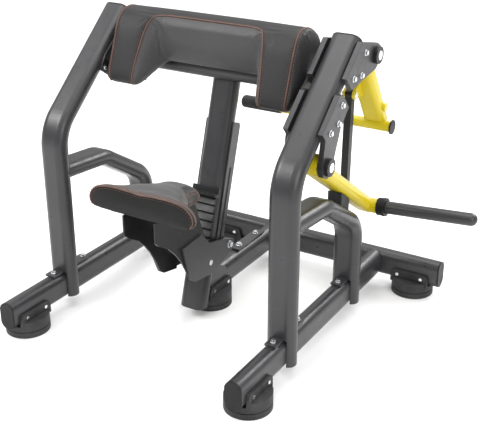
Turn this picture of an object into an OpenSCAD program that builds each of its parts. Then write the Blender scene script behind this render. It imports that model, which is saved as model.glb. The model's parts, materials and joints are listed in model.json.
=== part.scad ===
// Plate-loaded seated arm-curl machine: welded flat-oval tube frame, arm pad,
// height-adjustable seat, and a one-sided curl arm driving a weight lever.
// Millimetres, +Z up, +Y the way the user faces, +X to the user's right.

/* [Frame] */
// Half the distance between the side rail centre lines
rail_half = 500; // [480:5:520]
// Flat-oval tube, long side
tube_w = 112; // [108:1:114]
// Flat-oval tube, short side
tube_t = 66; // [62:1:68]
// Tube wall thickness
wall = 4; // [3:0.5:5]
// Half length of the rear cross rail
rear_half = 780; // [730:2:800]
// Uprights: distance of the vertical part from the rail front
up_y = 333; // [320:1:340]
// Uprights: lean of the upper part from the vertical
up_lean = 48.4; // [47.5:0.1:49.5]

/* [Weight side] */
// Weight horn diameter
horn_d = 50; // [48:1:51]
// Weight horn length beyond the collar
horn_len = 363; // [300:1:380]
// Weight horn upward tilt
horn_tilt = 4.5; // [3:0.5:7]

/* [Curl side] */
// Curl bar diameter
bar_d = 42; // [38:1:44]
// Half length of the rubber grip
grip_half = 90; // [70:1:100]

/* [Seat] */
// Seat cushion width
seat_w = 416; // [380:2:430]
// Seat cushion height at its crown
seat_h = 96; // [80:1:100]

/* [Feet] */
// Foot pad radius
foot_r = 86; // [70:1:90]
// Height of the rail underside over the floor
foot_h = 49; // [44:1:54]

/* [Hidden] */
$fn = 48;
e = 0.01;
cap_t = 6;
r_t = tube_t/2;
rail_zb = -5;                       // rail underside in frame coordinates
rail_zt = rail_zb + tube_w;         // rail top
rail_zc = rail_zb + tube_w/2;
floor_z = rail_zb - foot_h;
rear_y = 1165;                      // rear cross rail centre line
rear_front = rear_y - r_t;
up_cz = 693;                        // height of the upright's bend corner
up_R = 165;
up_T = up_R*tan(up_lean/2);
up_len = 575;                       // corner to tube end
pl_t = 19;                          // bracket plate thickness
side = tube_w/2;                    // upright half width in X
// pivots
p1y = 855; p1z = 1012;
p2y = 491; p2z = 707;
arm_y = 1050; arm_z = 685;          // curl bar axis at rest
arm_ang = atan2(arm_y - p1y, p1z - arm_z);
arm_L = sqrt(pow(arm_y - p1y, 2) + pow(p1z - arm_z, 2));
lev_ang = 33.8;                     // weight lever slope at rest
lev_L = 598;
lev_t = 58;                         // weight lever depth
lnk_x = 471;                        // link rod plane, held inside the lever's box
ty = 875; tz = 847;                 // link upper pin
by = 867; bz = p2z - (by - p2y)*tan(lev_ang);   // link lower pin, on the lever's centre line
lnk_L = sqrt(pow(ty - by, 2) + pow(tz - bz, 2));
lnk_ang = atan2(ty - by, tz - bz);
// post
post_lean = 16.7;
post_y0 = 520; post_z0 = 0;         // a point on the post centre line
rack_pitch = 32;
// horn
horn_x0 = rail_half + 50;
horn_y = p2y + lev_L*cos(lev_ang) - 2;
horn_z = p2z - lev_L*sin(lev_ang);
collar_len = 50;
horn_tip_x = horn_x0 + (collar_len + horn_len - horn_d/2)*cos(horn_tilt) + horn_d/2;
// placement: floor centre of the bounding box at the origin
foot_back = rear_y + 6 + foot_r;
rail_front = -cap_t;
ox = (rear_half + cap_t - horn_tip_x)/2;
oy = -(foot_back + rail_front)/2;
oz = -floor_z;

// ---------- helpers ----------
module place() translate([ox, oy, oz]) children();

module oval(w, t, g = 0) union() {
  square([w - t, t - 2*g], center = true);
  translate([(w - t)/2, 0]) circle(r = t/2 - g);
  translate([-(w - t)/2, 0]) circle(r = t/2 - g);
}

// straight tube along +Z, long side along X; hollow when g is 0 and h is true
module section(g, h = false) difference() {
  oval(tube_w, tube_t, g);
  if (h) oval(tube_w, tube_t, wall);
}
module leg(L, g, h = false) linear_extrude(height = L) section(g, h);

// bend from +Z towards +Y
module bend(R, a, g, h = false) translate([0, R, 0]) rotate([90, 0, -90])
  rotate_extrude(angle = a, $fn = 96) translate([R, 0]) rotate(90) section(g, h);

module after_leg(L) translate([0, 0, L]) children();
module after_bend(R, a) translate([0, R, 0]) rotate([-a, 0, 0]) translate([0, -R, 0]) children();

// a point on the leaning part of an upright: s along it, p above its centre line
function uy(s, p) = up_y + s*sin(up_lean) - p*cos(up_lean);
function uz(s, p) = up_cz + s*cos(up_lean) + p*sin(up_lean);
function upt(s, p) = [uy(s, p), uz(s, p)];
// a point beside the post: z-station h along it, p behind its centre line
function qy(h, p) = post_y0 + h*sin(post_lean) + p*cos(post_lean);
function qz(h, p) = post_z0 + h*cos(post_lean) - p*sin(post_lean);

// plate in the YZ plane from x0, thickness t
module yz_plate(x0, t, pts) translate([x0, 0, 0]) rotate([90, 0, 90]) linear_extrude(height = t) polygon(pts);
// cylinder along +X
module xcyl(x0, L, y, z, r) translate([x0, y, z]) rotate([0, 90, 0]) cylinder(h = L, r = r);
module xring(x0, L, y, z, r, ri) difference() {
  xcyl(x0, L, y, z, r);
  xcyl(x0 - 1, L + 2, y, z, ri);
}

// ---------- rails ----------
module y_rail(L, g) rotate([-90, 0, 0]) linear_extrude(height = L) rotate(90) oval(tube_w, tube_t, g);

module rear_cut() translate([-900, rear_front - 14 + e, rail_zb - 5]) cube([1800, 200, tube_w + 10]);

module side_rail(s) color([0.33, 0.33, 0.35]) place() translate([s*rail_half, 0, rail_zc]) difference() {
  y_rail(rear_front, 0);
  translate([0, -1, 0]) y_rail(rear_front + 2, wall);
}
module side_rail_left() side_rail(-1);
module side_rail_right() side_rail(1);

module rear_cross_rail() color([0.33, 0.33, 0.35]) place()
  translate([-rear_half, rear_y, rail_zc]) rotate([0, 90, 0]) difference() {
    linear_extrude(height = 2*rear_half) oval(tube_w, tube_t, 0);
    translate([0, 0, -1]) linear_extrude(height = 2*rear_half + 2) oval(tube_w, tube_t, wall);
  }

centre_y0 = qy((rail_zc - post_z0)/cos(post_lean), 0) + 56;
module centre_rail() color([0.33, 0.33, 0.35]) place() translate([0, centre_y0, rail_zc]) difference() {
  y_rail(rear_front - centre_y0, 0);
  translate([0, -1, 0]) y_rail(rear_front - centre_y0 + 2, wall);
}

// closed cap with a plug inside the tube
module cap_solid(L) union() {
  linear_extrude(height = cap_t) oval(tube_w, tube_t, 0.5);
  translate([0, 0, cap_t - e]) linear_extrude(height = L) oval(tube_w, tube_t, wall + 0.2);
}
module rail_end_caps() color([0.12, 0.12, 0.13]) place() {
  for (s = [-1, 1]) translate([s*rail_half, -cap_t, rail_zc]) rotate([-90, 0, 0]) rotate(90) cap_solid(20);
  translate([rear_half + cap_t, rear_y, rail_zc]) rotate([0, -90, 0]) cap_solid(20);
  translate([-rear_half - cap_t, rear_y, rail_zc]) rotate([0, 90, 0]) cap_solid(20);
}

// ---------- uprights ----------
up_z0 = rail_zb + 6;
sg = 0.02;                          // weld line between tube segments
up_L1 = up_cz - up_T - up_z0;
module upright(s) color([0.33, 0.33, 0.35]) place() translate([s*rail_half, up_y, up_z0]) {
  difference() {
    leg(up_L1, 0, true);
    translate([-r_t - 0.2, -60, -1]) cube([tube_t + 0.4, 120, rail_zt - up_z0 + 1.2]);
  }
  after_leg(up_L1 + sg) {
    bend(up_R, up_lean, 0, true);
    after_bend(up_R, up_lean) after_leg(sg) leg(up_len - up_T - 2*sg, 0, true);
  }
}
module upright_left() upright(-1);
module upright_right() upright(1);

module upright_end_caps() color([0.12, 0.12, 0.13]) place()
  for (s = [-1, 1]) translate([s*rail_half, uy(up_len + cap_t, 0), uz(up_len + cap_t, 0)])
    rotate([180 - up_lean, 0, 0]) cap_solid(18);

// ---------- braces ----------
br_y = 860; br_z0 = rail_zb + 6; br_R = 120;
br_a1 = 58.2; br_a2 = 27.3;
br_c2 = 343;
br_run = 270/sin(br_a1);
br_T2 = br_R*tan(br_a1/2);
br_T1 = br_R*tan(br_a2/2);
br_end = (br_y - 270 - br_T1*sin(br_a1 + br_a2)) - (up_y + r_t + 0.3);  // run of the last leg along Y
br_L1 = br_c2 - br_T2 - br_z0;
br_L2 = br_run - br_T1 - br_T2;
module brace(s) color([0.33, 0.33, 0.35]) place() translate([s*rail_half, br_y, br_z0]) mirror([0, 1, 0]) {
  difference() {
    leg(br_L1, 0, true);
    translate([-r_t - 0.2, -60, -1]) cube([tube_t + 0.4, 120, rail_zt - br_z0 + 1.2]);
  }
  after_leg(br_L1 + sg) {
    bend(br_R, br_a1, 0, true);
    after_bend(br_R, br_a1) after_leg(sg) {
      leg(br_L2, 0, true);
      after_leg(br_L2 + sg) {
        bend(br_R, br_a2, 0, true);
        after_bend(br_R, br_a2) after_leg(sg) difference() {
          leg(280, 0, true);
          // coped to the upright
          rotate([br_a1 + br_a2, 0, 0]) {
            translate([-100, br_end + r_t, -200]) cube([200, 200, 400]);
            translate([0, br_end + r_t + 0.3, -200]) linear_extrude(height = 400) oval(tube_w + 0.6, tube_t + 0.6);
          }
        }
      }
    }
  }
}
module brace_left() brace(-1);
module brace_right() brace(1);

// ---------- beam, post ----------
beam_y = 768; beam_z = 900;
beam_x0 = -rail_half + side + 8; beam_x1 = rail_half - side - pl_t - 9;
module cross_beam() color([0.33, 0.33, 0.35]) place()
  translate([beam_x0, beam_y, beam_z]) rotate([0, 90, 0]) rotate(90) difference() {
    linear_extrude(height = beam_x1 - beam_x0) oval(tube_w, tube_t, 0);
    translate([0, 0, -1]) linear_extrude(height = beam_x1 - beam_x0 + 2) oval(tube_w, tube_t, wall);
  }

end_pts = [[556, 884], [604, 852], [700, 856], [800, 862], [828, 900], [800, 938], [716, 984], [660, 992], [590, 936]];
module beam_end_plates() color([0.2, 0.2, 0.21]) place() {
  yz_plate(beam_x0 - 8, 8, end_pts);
  yz_plate(beam_x1, 8, end_pts);
}

post_top = (beam_z - r_t - post_z0)/cos(post_lean) + 30;
module seat_post() color([0.33, 0.33, 0.35]) place() difference() {
  translate([0, post_y0, post_z0]) rotate([-post_lean, 0, 0]) difference() {
    translate([0, 0, -20]) leg(post_top + 20, 0);
    translate([0, 0, -21]) leg(post_top + 22, wall);
  }
  translate([-100, 400, beam_z - r_t - 0.02]) cube([200, 600, 200]);
  translate([-100, 300, -100]) cube([200, 500, 100 + rail_zb]);
}

g_x = side + 0.2; g_t = 6;
module guide_plates() color([0.33, 0.33, 0.35]) place() for (s = [-1, 1])
  difference() {
    yz_plate(s > 0 ? g_x : -g_x - g_t, g_t,
      [[qy(150, -8), qz(150, -8)], [qy(738, -8), qz(738, -8)], [qy(738, 30), qz(738, 30)], [qy(734, 39), qz(734, 39)], [qy(724, 44), qz(724, 44)], [qy(150, 44), qz(150, 44)]]);
    yz_plate(s > 0 ? g_x - 1 : -g_x - g_t - 1, g_t + 2,
      [[qy(180, 8), qz(180, 8)], [qy(562, 8), qz(562, 8)], [qy(562, 22), qz(562, 22)], [qy(180, 22), qz(180, 22)]]);
  }

// dark slide strips set in the slots
module guide_liners() color([0.06, 0.06, 0.06]) place() for (s = [-1, 1])
  yz_plate(s > 0 ? g_x + 0.5 : -g_x - 4.5, 4,
    [[qy(180.05, 8.05), qz(180.05, 8.05)], [qy(561.95, 8.05), qz(561.95, 8.05)], [qy(561.95, 21.95), qz(561.95, 21.95)], [qy(180.05, 21.95), qz(180.05, 21.95)]]);

// toothed height rack on the front of the post
rk0 = 253; rk_n = 6;
function rack_pt(h, d) = [qy(h, -r_t - d), qz(h, -r_t - d)];
module seat_rack() color([0.28, 0.28, 0.3]) place()
  yz_plate(-52, 104, concat(
    [rack_pt(rk0, 0.1), rack_pt(rk0, 6)],
    [for (i = [0 : rk_n - 1]) each [rack_pt(rk0 + i*rack_pitch + 1, 6), rack_pt(rk0 + i*rack_pitch + 3, 20), rack_pt(rk0 + i*rack_pitch + 30, 7)]],
    [rack_pt(rk0 + rk_n*rack_pitch, 6), rack_pt(rk0 + rk_n*rack_pitch, 0.1)]));

module rack_top_stop() color([0.15, 0.15, 0.16]) place()
  yz_plate(-60, 120, [rack_pt(rk0 + rk_n*rack_pitch + 1, 0.1), rack_pt(rk0 + rk_n*rack_pitch + 1, 30), rack_pt(rk0 + rk_n*rack_pitch + 11, 30), rack_pt(rk0 + rk_n*rack_pitch + 11, 8), rack_pt(rk0 + rk_n*rack_pitch + 34, 8), rack_pt(rk0 + rk_n*rack_pitch + 34, 0.1)]);

module post_flange() color([0.33, 0.33, 0.35]) place() for (s = [-1, 1])
  yz_plate(s > 0 ? r_t + 0.2 : -r_t - 0.2 - 8, 8,
    [[centre_y0 - 16, rail_zt - 34], [centre_y0 + 104, rail_zt - 34], [centre_y0 + 104, rail_zt - 8], [qy(172, 34), qz(172, 34)], [qy(150, 34.5), qz(150, 34.5)], [qy(100, 34.5), qz(100, 34.5)]]);

// ---------- arm pad ----------
u_a = 42.8;                         // slope of the pad underside
pb_y = 596; pb_z = 861;             // lower end of the pad underside
function by_(s, p) = pb_y + s*cos(u_a) + p*sin(u_a);
function bz_(s, p) = pb_z + s*sin(u_a) - p*cos(u_a);
m0 = [698, 918]; m1 = [772, 1046];    // underside of the recessed middle panel
mdir = (m1 - m0)/norm(m1 - m0);
function mp(s, p) = [m0[0] + s*mdir[0] - p*mdir[1], m0[1] + s*mdir[1] + p*mdir[0]];
module pad_board() color([0.13, 0.13, 0.13]) place() {
  for (x = [-376, 262])
    yz_plate(x, 114, [[by_(6, 0.3), bz_(6, 0.3)], [by_(262, 0.3), bz_(262, 0.3)], [by_(262, 14.3), bz_(262, 14.3)], [by_(6, 14.3), bz_(6, 14.3)]]);
  yz_plate(-256, 512, [mp(6, 0), mp(142, 0), mp(142, 12), mp(6, 12)]);
}

lobe_pts = [[532, 874], [545, 912], [560, 955], [575, 998], [588, 1034], [604, 1070], [622, 1096], [646, 1113],
  [676, 1120], [706, 1117], [738, 1104], [768, 1082], [792, 1056], [by_(272, 0), bz_(272, 0)], [by_(0, 0), bz_(0, 0)], [578, 848], [556, 847], [540, 856]];
mid_pts = [mp(2, 12.3), mp(-2, 16), [674, 928], [662, 944], [653, 975], [645, 1030], [640, 1075], [643, 1100], [652, 1114],
  [676, 1120], [706, 1117], [738, 1104], [762, 1086], mp(150, 12.3)];
module arm_pad() color([0.25, 0.25, 0.27]) place() {
  union() {
    yz_plate(-392, 134, lobe_pts);
    yz_plate(258, 134, lobe_pts);
    yz_plate(-258.5, 517, mid_pts);
  }
}

module pad_supports() color([0.2, 0.2, 0.21]) place() for (x = [-320, 312])
  yz_plate(x, 8, [[746, beam_z + r_t + 0.05], [790, beam_z + r_t + 0.05], [by_(215, 14.35), bz_(215, 14.35)], [by_(165, 14.35), bz_(165, 14.35)]]);

module pad_brackets() color([0.2, 0.2, 0.21]) place() for (s = [-1, 1]) {
  x0 = s < 0 ? beam_x0 : 300; L = s < 0 ? -300 - beam_x0 : beam_x1 - 300;
  yz_plate(x0, L, [[by_(20, 14.4), bz_(20, 14.4)], [by_(64, 14.4), bz_(64, 14.4)], [by_(64, 20.4), bz_(64, 20.4)], [by_(20, 20.4), bz_(20, 20.4)]]);
}

// ---------- fasteners ----------
module hexbolt(r, h) union() {
  cylinder(h = 2, r = r*1.25);
  translate([0, 0, 2 - e]) cylinder(h = h, r = r, $fn = 6);
}
module xbolt(x, y, z, s, r, h) translate([x, y, z]) rotate([0, s*90, 0]) hexbolt(r, h);

module pad_bolts() color([0.8, 0.8, 0.82]) place() {
  for (q = [[582, 888], [690, 960]]) {
    xbolt(beam_x0 + 0.05, q[0], q[1], 1, 7, 5);
    xbolt(beam_x1 - 0.05, q[0], q[1], -1, 7, 5);
  }
}

// ---------- bracket plates ----------
up_plate = [upt(400, 30), upt(555, 30), [p1y + 8, p1z + 42], [p1y + 34, p1z + 26], [p1y + 42, p1z - 4], [p1y + 26, p1z - 33],
  upt(569, -146), upt(402, -36)];
lo_plate = [upt(176, 31), upt(334, 31), upt(352, 10), upt(352, -66), upt(272, -70), [544, 735], [p2y + 43, p2z], [p2y + 30, p2z - 30], [p2y, p2z - 43], [p2y - 30, p2z - 30], [p2y - 43, p2z], [p2y - 38, p2z + 26], upt(176, -2)];
module bplate(x0, pts, py, pz, h) place() difference() {
  yz_plate(x0, pl_t, pts);
  xcyl(x0 - 1, pl_t + 2, py, pz, h);
}
shaft_r = 15;
xo = rail_half + side + 0.2; xi = rail_half - side - 0.2 - pl_t;
module upper_plate_outer() color([0.3, 0.3, 0.32]) bplate(xo, up_plate, p1y, p1z, shaft_r + 0.05);
module upper_plate_inner() color([0.3, 0.3, 0.32]) bplate(xi, up_plate, p1y, p1z, shaft_r + 0.05);
module lower_plate_outer() color([0.3, 0.3, 0.32]) bplate(xo, lo_plate, p2y, p2z, shaft_r + 0.05);
module lower_plate_inner() color([0.3, 0.3, 0.32]) bplate(xi, lo_plate, p2y, p2z, shaft_r + 0.05);

module plate_bolts() color([0.82, 0.82, 0.84]) place() {
  for (q = [[549, -22], [480, -60], [434, -16], [325, -14], [268, -40], [212, -14]]) {
    xbolt(xo + pl_t + 0.05, uy(q[0], q[1]), uz(q[0], q[1]), 1, 9, 7);
    if (q[0] > 500 || q[0] < 300) xbolt(xi - 0.05, uy(q[0], q[1]), uz(q[0], q[1]), -1, 9, 7);
  }
}

// pivot shafts with flanged bearing covers outside the plates
module shaft(py, pz) union() {
  xcyl(xi - 14, xo + pl_t + 14 - (xi - 14), py, pz, shaft_r);
  xcyl(xo + pl_t + 0.1, 14, py, pz, 31);
  xcyl(xi - 14.1, 14, py, pz, 31);
}
module upper_shaft() color([0.2, 0.2, 0.21]) place() shaft(p1y, p1z);
module lower_shaft() color([0.2, 0.2, 0.21]) place() shaft(p2y, p2z);
module pivot_caps() color([0.85, 0.85, 0.86]) place() {
  xcyl(xo + pl_t + 14.2, 2, p1y, p1z, 17);
  xcyl(xo + pl_t + 14.2, 2, p2y, p2z, 17);
}

// ---------- curl arm ----------
arm_w = 86; ax0 = rail_half - arm_w/2;
module arm_frame() translate([0, p1y, p1z]) rotate([arm_ang, 0, 0]) children();   // -Z runs down the arm
module rrect(w, t, r) union() {
  square([w - 2*r, t], center = true);
  square([w, t - 2*r], center = true);
  for (i = [-1, 1]) for (j = [-1, 1]) translate([i*(w/2 - r), j*(t/2 - r)]) circle(r = r);
}
// the arm tube leans a little behind the line from pivot to bar
module arm_tube(w, t, r, s0, s1) arm_frame() translate([rail_half, 2, 0]) rotate([3.35, 0, 0])
  translate([0, 0, -s1]) linear_extrude(height = s1 - s0) rrect(w, t, r);
module curl_arm() color([0.92, 0.83, 0.12]) place() difference() {
  union() {
    xcyl(ax0 - 8, arm_w + 16, p1y, p1z, 33);
    arm_tube(arm_w, 54, 20, 16, arm_L - 2);
    // lug pair for the link rod
    for (x = [lnk_x - 14.5 - 9, lnk_x + 14.5]) {
      yz_plate(x, 9, [[ty - 12, tz + 12], [ty - 6, tz - 16], [ty + 108, tz - 24], [ty + 58, tz + 60]]);
      xcyl(x, 9, ty, tz, 17);
    }
    yz_plate(lnk_x - 14.5 - 9, 12, [[ty + 92, tz - 12], [ty + 106, tz - 20], [ty + 62, tz + 52], [ty + 50, tz + 48]]);
    arm_frame() translate([ax0 + arm_w - 2, 24, -300]) rotate([0, 90, 0]) cylinder(h = 13, r = 16);
  }
  xcyl(ax0 - 20, arm_w + 40, p1y, p1z, shaft_r + 0.1);
  xcyl(lnk_x - 40, 80, ty, tz, 8.05);
  arm_tube(arm_w - 8, 46, 16, 60, arm_L - 34);
  xcyl(ax0 - 1, arm_w + 2, arm_y, arm_z, bar_d/2 + 0.02);
}
bar_x0 = -grip_half + 6; bar_x1 = rail_half + 72;
module curl_bar() color([0.92, 0.83, 0.12]) place() xring(bar_x0, bar_x1 - bar_x0, arm_y, arm_z, bar_d/2, bar_d/2 - 4);
module curl_bar_cap() color([0.1, 0.1, 0.1]) place() union() {
  xcyl(bar_x1 + 0.02, 6, arm_y, arm_z, bar_d/2 + 7);
  xcyl(bar_x1 - 18, 18.1, arm_y, arm_z, bar_d/2 - 4.1);
}
module curl_grip() color([0.1, 0.1, 0.1]) place() difference() {
  union() {
    xcyl(-grip_half + 12, 2*grip_half - 12, arm_y, arm_z, bar_d/2 + 5);
    translate([-grip_half + 12, arm_y, arm_z]) rotate([0, 90, 0]) rotate_extrude() polygon(concat([[0, -12]], [for (a = [0 : 15 : 90]) [bar_d/2 - 7 + 12*sin(a), -12*cos(a)]], [[0, 0]]));
  }
  xcyl(bar_x0 - 0.05, 3*grip_half, arm_y, arm_z, bar_d/2 + 0.05);
}

// ---------- link rod ----------
module link_pin_upper() color([0.75, 0.75, 0.77]) place() union() {
  xcyl(lnk_x - 24, 48, ty, tz, 8);
  xcyl(lnk_x + 23.8, 4, ty, tz, 12);
  xcyl(lnk_x - 27.8, 4, ty, tz, 12);
}
module link_rod() color([0.22, 0.22, 0.23]) place() translate([0, ty, tz]) rotate([-lnk_ang, 0, 0]) mirror([0, 0, 1]) difference() {
  union() {
    xcyl(lnk_x - 14, 28, 0, 0, 16);
    translate([lnk_x - 14, -14, 0]) cube([28, 28, lnk_L]);
    xcyl(lnk_x - 14, 28, 0, lnk_L, 16);
  }
  xcyl(lnk_x - 40, 80, 0, 0, 8.05);
  xcyl(lnk_x - 40, 80, 0, lnk_L, 8.05);
}

// ---------- weight lever ----------
win_s0 = sqrt(pow(by - p2y, 2) + pow(bz - p2z, 2)) - 46; win_s1 = win_s0 + 116;
module lev_frame() translate([0, p2y, p2z]) rotate([-lev_ang, 0, 0]) children();   // +Y runs down the lever
module weight_lever() color([0.92, 0.83, 0.12]) place() difference() {
  union() {
    xcyl(ax0 - 8, arm_w + 16, p2y, p2z, 38);
    lev_frame() translate([rail_half, 20, 0]) rotate([-90, 0, 0]) linear_extrude(height = lev_L - 20 + 22) oval(arm_w, lev_t);
    // boss the horn is set in
    intersection() {
      horn_frame() translate([0, 0, -30]) cylinder(h = 47, r = lev_t/2);
      translate([rail_half + 10, horn_y - 60, horn_z - 60]) cube([100, 120, 120]);
    }
  }
  horn_frame() translate([0, 0, -8]) cylinder(h = 40, r = horn_d/2 - 0.45);
  xcyl(ax0 - 20, arm_w + 40, p2y, p2z, shaft_r + 0.1);
  lev_frame() translate([rail_half, 60, 0]) rotate([-90, 0, 0]) linear_extrude(height = lev_L - 60 - 60) oval(arm_w, lev_t, wall);
  // window the link rod's lower end works in
  lev_frame() translate([lnk_x - 23, win_s0, -40]) cube([46, win_s1 - win_s0, 80]);
}
module link_pin_lower() color([0.75, 0.75, 0.77]) place() union() {
  xcyl(lnk_x - 18, 36, by, bz, 8);
  xcyl(lnk_x + 14.1, 5, by, bz, 12);
  xcyl(lnk_x - 19.1, 5, by, bz, 12);
}
module horn_frame() translate([horn_x0, horn_y, horn_z]) rotate([0, 90 - horn_tilt, 0]) children();
module horn_collar() color([0.12, 0.12, 0.13]) place() {
  horn_frame() difference() {
    union() {
      translate([0, 0, 17.2]) cylinder(h = 20.8, r = 35);
      translate([0, 0, 38 - e]) cylinder(h = collar_len - 38 + e, r = 36.5);
    }
    translate([0, 0, -20]) cylinder(h = collar_len + 40, r = horn_d/2 - 0.45);
  }
}
module weight_horn() color([0.15, 0.15, 0.16]) place()
  horn_frame() union() {
    translate([0, 0, -7.9]) cylinder(h = collar_len + 8, r = horn_d/2 - 0.5);
    translate([0, 0, collar_len + 0.05]) cylinder(h = horn_len - horn_d/2 - 0.05, r = horn_d/2);
    translate([0, 0, collar_len + horn_len - horn_d/2]) sphere(r = horn_d/2);
  }

// rubber stop under the lever, on the right brace
st_y = 716; st_w = 69;
function lev_under(y) = p2z - (y - p2y)*tan(lev_ang) - lev_t/2/cos(lev_ang) - 0.6/cos(lev_ang);
function br_top(y) = br_c2 + (br_y - y)/tan(br_a1) + r_t/sin(br_a1);
module lever_stop() color([0.08, 0.08, 0.08]) place()
  yz_plate(rail_half - 27, 56, [[st_y, br_top(st_y) + 0.1], [st_y, lev_under(st_y)], [st_y + st_w, lev_under(st_y + st_w)], [st_y + st_w, br_top(st_y + st_w) + 0.1]]);

// ---------- tabs and bolts ----------
tab_y = [[up_y - r_t - 58, up_y - r_t - 1], [up_y + r_t + 1, up_y + r_t + 92], [br_y - r_t - 66, br_y - r_t - 1]];
module mount_tabs() color([0.33, 0.33, 0.35]) place() {
  for (s = [-1, 1]) for (t = tab_y)
    translate([s*rail_half - 22, t[0], rail_zt + 0.1]) cube([44, t[1] - t[0], 8]);
  translate([-22, 826, rail_zt + 0.1]) cube([44, 212, 8]);
}
module zbolt(x, y, z, r, h) translate([x, y, z]) hexbolt(r, h);
module frame_bolts() color([0.82, 0.82, 0.84]) place() {
  for (s = [-1, 1]) {
    zbolt(s*rail_half, up_y - r_t - 34, rail_zt + 8.15, 9, 8);
    zbolt(s*rail_half, up_y + r_t + 78, rail_zt + 8.15, 9, 8);
    zbolt(s*rail_half, br_y - r_t - 46, rail_zt + 8.15, 9, 8);
  }
  for (y = [864, 1000]) zbolt(0, y, rail_zt + 8.15, y > 900 ? 9 : 11, 8);
}

// ---------- feet ----------
// half-round rubber foot under and beside the rail; the plate screws to the +X side
module foot() union() {
  translate([-6, 0, floor_z]) cylinder(h = foot_h/2 - 2, r = foot_r);
  translate([-6, 0, floor_z + foot_h/2 - 2 - e]) cylinder(h = 4 + 2*e, r = foot_r - 3);
  translate([-6, 0, floor_z + foot_h/2 + 2]) cylinder(h = foot_h/2 - 2.1, r = foot_r);
  yz_plate(r_t + 0.2, 12, [[-foot_r + 6, rail_zb - 1], [foot_r - 6, rail_zb - 1], [foot_r - 6, rail_zb + 36], [foot_r - 9, rail_zb + 45], [foot_r - 16, rail_zb + 51],
    [-foot_r + 16, rail_zb + 51], [-foot_r + 9, rail_zb + 45], [-foot_r + 6, rail_zb + 36]]);
  difference() {
    translate([-6, 0, rail_zb - 1]) cylinder(h = 18, r = foot_r);
    translate([-200, -200, rail_zb - 2]) cube([200 + r_t + 0.2, 400, 30]);
  }
}
foot_y = 106;
module foot_c() color([0.07, 0.07, 0.07]) place() children();
module foot_left() foot_c() translate([-rail_half, foot_y, 0]) foot();
module foot_right() foot_c() translate([rail_half, foot_y, 0]) foot();
module foot_centre() foot_c() translate([0, 650, 0]) foot();
module foot_rear_left() foot_c() translate([-665, rear_y, 0]) rotate(-90) foot();
module foot_rear_mid() foot_c() translate([-230, rear_y, 0]) rotate(-90) foot();
module foot_rear_right() foot_c() translate([665, rear_y, 0]) rotate(-90) foot();
module screw_pair() for (y = [-51, 51]) translate([r_t + 12.25, y, 29]) rotate([0, 90, 0]) cylinder(h = 3, r = 7);
module foot_screws() color([0.85, 0.85, 0.86]) place() {
  for (x = [-rail_half, rail_half]) translate([x, foot_y, 0]) screw_pair();
  translate([0, 650, 0]) screw_pair();
  for (x = [-665, -230, 665]) translate([x, rear_y, 0]) rotate(-90) screw_pair();
}

// ---------- seat ----------
sp_x = 64.5;
sp_pts = [[184, 497], [184, 419], [201, 403], [262, 366], [303, 326], [336, 284], [362, 240], [392, 182], [412, 168], [498, 150], [500, 310], [484, 346], [430, 497]];
module seat_side_plates() color([0.15, 0.15, 0.16]) place() for (s = [-1, 1])
  yz_plate(s > 0 ? sp_x : -sp_x - 7, 7, sp_pts);

cp_x = 71.7; cp_t = 8;
// carriage pins: one behind the guide plates, one ahead of the rack
rp_h = 256; rp_p = 44 + 0.4 + 22;
fp_h = 196; fp_p = -r_t - 20 - 0.6 - 9;
rpy = qy(rp_h, rp_p); rpz = qz(rp_h, rp_p);
fpy = qy(fp_h, fp_p); fpz = qz(fp_h, fp_p);
cp_pts = [[334, 336], [462, 344], [514, 289], [584, 272], [640, 258], [690, 236], [694, 206], [664, 190], [600, 168], [540, 150], [412, 168], [392, 182], [363, 250]];
module carriage_plates() color([0.33, 0.33, 0.35]) place() for (s = [-1, 1]) difference() {
  yz_plate(s > 0 ? cp_x : -cp_x - cp_t, cp_t, cp_pts);
  xcyl(s > 0 ? cp_x - 1 : -cp_x - cp_t - 1, cp_t + 2, rpy, rpz, 8.05);
  xcyl(s > 0 ? cp_x - 1 : -cp_x - cp_t - 1, cp_t + 2, fpy, fpz, 8.05);
}
module carriage_rollers() color([0.1, 0.1, 0.1]) place() xring(-62, 124, rpy, rpz, 22, 8.05);
module carriage_pins() color([0.82, 0.82, 0.84]) place() {
  union() {
    xcyl(-cp_x - cp_t - 0.1, 2*(cp_x + cp_t + 0.1), rpy, rpz, 8);
    for (s = [-1, 1]) xbolt(s*(cp_x + cp_t + 0.05), rpy, rpz, s, 12, 9);
  }
  union() {
    xcyl(-cp_x - cp_t - 0.1, 2*(cp_x + cp_t + 0.1), fpy, fpz, 8);
    for (s = [-1, 1]) xcyl(s > 0 ? cp_x + cp_t + 0.05 : -cp_x - cp_t - 5, 4.95, fpy, fpz, 11);
  }
}

seat_z = 506; seat_y0 = 175; seat_y1 = 456;
module seat_pan() color([0.13, 0.13, 0.13]) place() translate([0, 0, 497.2]) linear_extrude(height = 8.4)
  polygon([[-130, seat_y0 + 20], [130, seat_y0 + 20], [120, 250], [66, 340], [56, 425], [-56, 425], [-66, 340], [-120, 250]]);

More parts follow.
